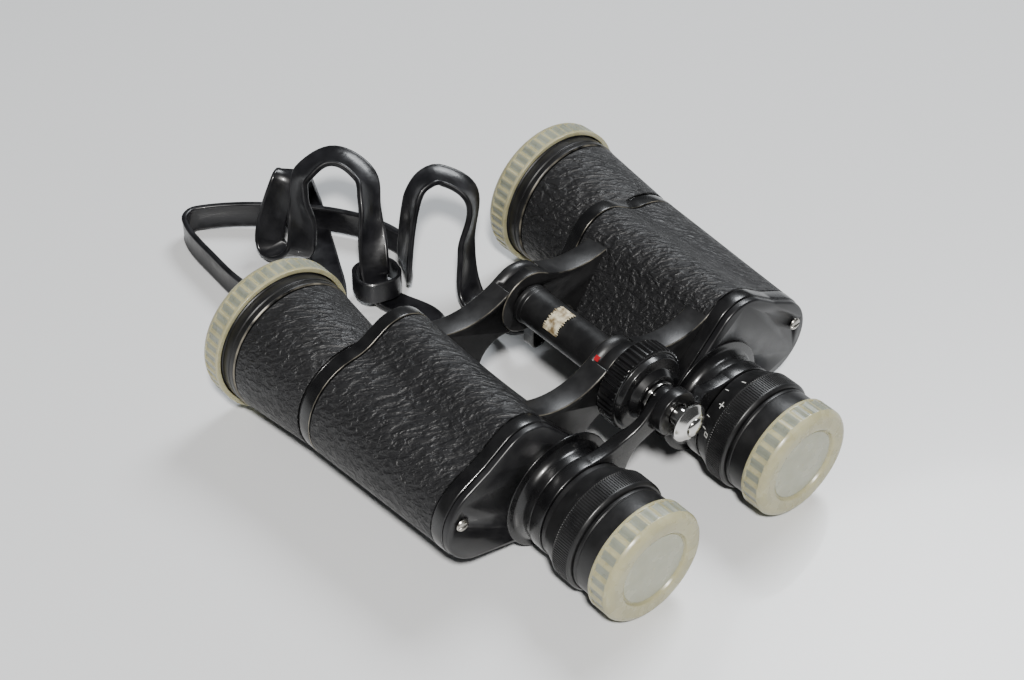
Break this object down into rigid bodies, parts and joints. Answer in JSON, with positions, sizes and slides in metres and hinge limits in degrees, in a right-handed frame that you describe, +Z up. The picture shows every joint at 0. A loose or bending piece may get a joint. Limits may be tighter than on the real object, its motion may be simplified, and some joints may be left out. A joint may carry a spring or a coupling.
{
  "type": "binoculars",
  "caption": "Centre-focus porro-prism field binoculars with a folding hinge, push-on lens caps and a flat neck strap lying in loops.",
  "frame": {"origin": "on the surface the binoculars lie on, in the middle of the body's box without the strap, in the plane halfway between the two barrels", "axes": "+Y along the optical axes towards the objectives, +X to the user's right, +Z up"},
  "size_m": [0.1632, 0.2309, 0.0542],
  "materials": {
    "black_paint": "gloss",
    "satin_black": "satin",
    "charcoal_paint": "satin",
    "leatherette": "grained",
    "glass": "polished",
    "cap_vinyl": "translucent satin",
    "nickel": "polished",
    "chrome": "polished",
    "steel": "ground",
    "spring_brass": "satin",
    "strap_vinyl": "satin",
    "red_paint": "satin",
    "paper": "matt"
  },
  "bodies": {
    "left_half": {"left_prism_housing": "black_paint", "left_housing_covering": "leatherette", "left_front_cover": "black_paint", "left_rear_cover": "charcoal_paint", "left_cover_screw": "nickel", "left_rear_prism": "glass", "left_front_prism": "glass", "left_rear_prism_clip": "spring_brass", "left_front_prism_clip": "spring_brass", "left_objective_barrel": "black_paint", "left_barrel_covering": "leatherette", "left_objective_bezel": "satin_black", "left_objective_crown": "glass", "left_objective_flint": "glass", "hinge_tube": "satin_black", "hinge_pin": "steel", "hinge_cap_screw": "satin_black", "index_dot": "red_paint", "paper_label": "paper", "neck_strap": "strap_vinyl", "strap_keeper": "strap_vinyl"},
    "right_half": {"right_prism_housing": "black_paint", "right_housing_covering": "leatherette", "right_front_cover": "black_paint", "right_rear_cover": "charcoal_paint", "right_cover_screw": "nickel", "right_rear_prism": "glass", "right_front_prism": "glass", "right_rear_prism_clip": "spring_brass", "right_front_prism_clip": "spring_brass", "right_objective_barrel": "black_paint", "right_barrel_covering": "leatherette", "right_objective_bezel": "satin_black", "right_objective_crown": "glass", "right_objective_flint": "glass"},
    "left_objective_cap": {"left_objective_cap": "cap_vinyl"},
    "right_objective_cap": {"right_objective_cap": "cap_vinyl"},
    "focus_wheel": {"focus_wheel": "black_paint"},
    "focus_spindle": {"focus_spindle": "chrome", "focus_collar": "chrome", "spindle_end_screw": "chrome"},
    "left_eyepiece": {"left_bridge_arm": "black_paint", "left_eyepiece_barrel": "black_paint", "left_eyepiece_ring": "black_paint", "left_eyecup": "satin_black", "left_field_lens": "glass", "left_eye_lens": "glass"},
    "right_eyepiece": {"right_bridge_arm": "black_paint", "right_eyepiece_barrel": "black_paint", "right_field_lens": "glass"},
    "right_ocular": {"right_eyecup": "satin_black", "right_eye_lens": "glass"},
    "dioptre_ring": {"dioptre_ring": "black_paint"},
    "left_eyepiece_cap": {"left_eyepiece_cap": "cap_vinyl"},
    "right_eyepiece_cap": {"right_eyepiece_cap": "cap_vinyl"}
  },
  "joints": [
    {"name": "interpupillary_hinge", "type": "hinge", "parent": "left_half", "child": "right_half", "pos_m": [0, 0, 0.0406], "axis": [0, -1, 0], "range_deg": [-16.5, 33.5]},
    {"name": "focus_wheel_turn", "type": "hinge", "parent": "left_half", "child": "focus_wheel", "pos_m": [0, -0.032, 0.0406], "axis": [0, -1, 0], "range_deg": [-1, 301]},
    {"name": "focus_spindle_slide", "type": "slide", "parent": "left_half", "child": "focus_spindle", "axis": [0, -1, 0], "range_m": [0, 0.006]},
    {"name": "left_eyepiece_slide", "type": "slide", "parent": "left_half", "child": "left_eyepiece", "axis": [0, -1, 0], "range_m": [-0.0001, 0.0061]},
    {"name": "right_eyepiece_slide", "type": "slide", "parent": "right_half", "child": "right_eyepiece", "axis": [0, -1, 0], "range_m": [-0.0001, 0.0061]},
    {"name": "right_ocular_slide", "type": "slide", "parent": "right_eyepiece", "child": "right_ocular", "axis": [0, -1, 0], "range_m": [-0.00029, 0.00236]},
    {"name": "dioptre_turn", "type": "hinge", "parent": "right_ocular", "child": "dioptre_ring", "pos_m": [0.031, -0.05, 0.01843], "axis": [0, -1, 0], "range_deg": [-12, 91]},
    {"name": "left_objective_cap_pull", "type": "slide", "parent": "left_half", "child": "left_objective_cap", "axis": [0, 1, 0], "range_m": [0, 0.012]},
    {"name": "right_objective_cap_pull", "type": "slide", "parent": "right_half", "child": "right_objective_cap", "axis": [0, 1, 0], "range_m": [0, 0.012]},
    {"name": "left_eyepiece_cap_pull", "type": "slide", "parent": "left_eyepiece", "child": "left_eyepiece_cap", "axis": [0, -1, 0], "range_m": [0, 0.012]},
    {"name": "right_eyepiece_cap_pull", "type": "slide", "parent": "right_ocular", "child": "right_eyepiece_cap", "axis": [0, -1, 0], "range_m": [0, 0.012]}
  ],
  "couplings": [
    {"joint": "focus_wheel_turn", "follows": "focus_spindle_slide", "rad_per_m": 872.66},
    {"joint": "left_eyepiece_slide", "follows": "focus_spindle_slide", "ratio": 1},
    {"joint": "right_eyepiece_slide", "follows": "focus_spindle_slide", "ratio": 1},
    {"joint": "dioptre_turn", "follows": "right_ocular_slide", "rad_per_m": 666.67}
  ]
}
